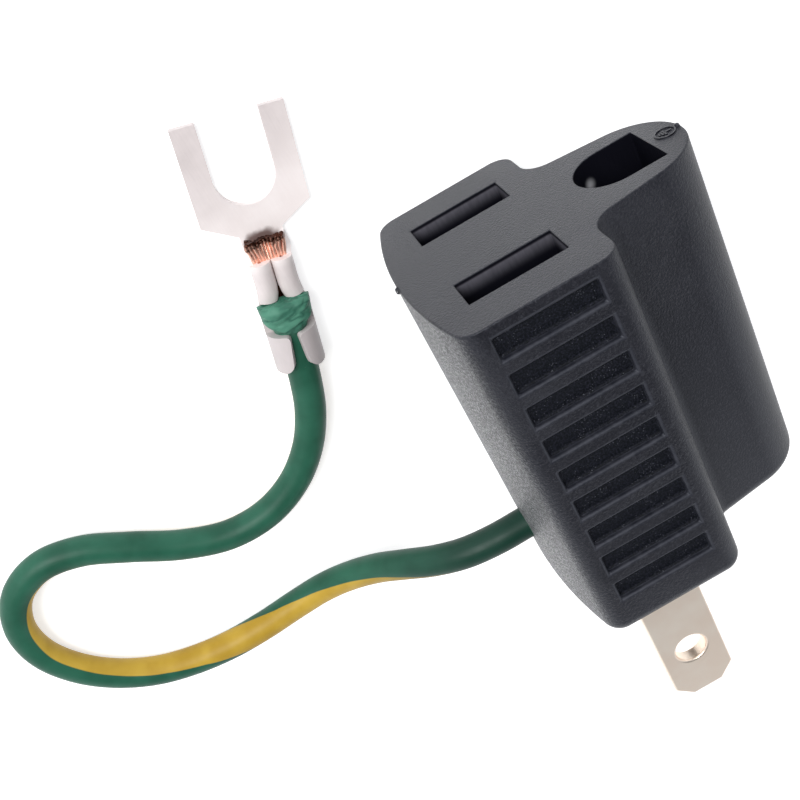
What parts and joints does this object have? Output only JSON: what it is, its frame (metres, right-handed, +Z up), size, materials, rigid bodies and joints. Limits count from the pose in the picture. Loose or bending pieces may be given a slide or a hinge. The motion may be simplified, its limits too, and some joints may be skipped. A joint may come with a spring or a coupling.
{
  "type": "grounding socket adapter",
  "caption": "Plug adapter with an earthed three-hole socket on one end, two flat blades on the other and a loose earth lead with a fork terminal.",
  "frame": {"origin": "on the rest face (one of the two ribbed faces), on the blade line, half way between the plug face and the socket face", "axes": "+X from the wire end to the earth lobe, +Y out of the socket face (the blades point to -Y), +Z up from the rest face to the other ribbed face"},
  "size_m": [0.0754, 0.0688, 0.0248],
  "materials": {
    "black_moulding": "fine spark-eroded grain, semi-matt, soft sheen on the rounded corners",
    "carrier_plastic": "plain black moulded insulating plastic",
    "plated_blade": "nickel plated brass, satin, warm silver",
    "contact_brass": "bare spring brass, bright",
    "bare_copper": "bare bright copper strands",
    "lead_insulation": "green flexible insulation with a wide yellow stripe, soft gloss",
    "tinned_sheet": "tin plated copper sheet, satin"
  },
  "bodies": {
    "root": {"body_moulding": "black_moulding", "contact_carrier": "carrier_plastic", "carrier_base": "carrier_plastic", "line_blade": "plated_blade", "neutral_blade": "plated_blade", "line_contact": "contact_brass", "neutral_contact": "contact_brass", "contact_rivets": "contact_brass", "earth_contact": "contact_brass", "earth_strands": "bare_copper", "inner_lead": "lead_insulation", "earth_lead": "lead_insulation", "lead_end": "lead_insulation", "fork_terminal": "tinned_sheet", "fork_strands": "bare_copper"}
  },
  "joints": []
}
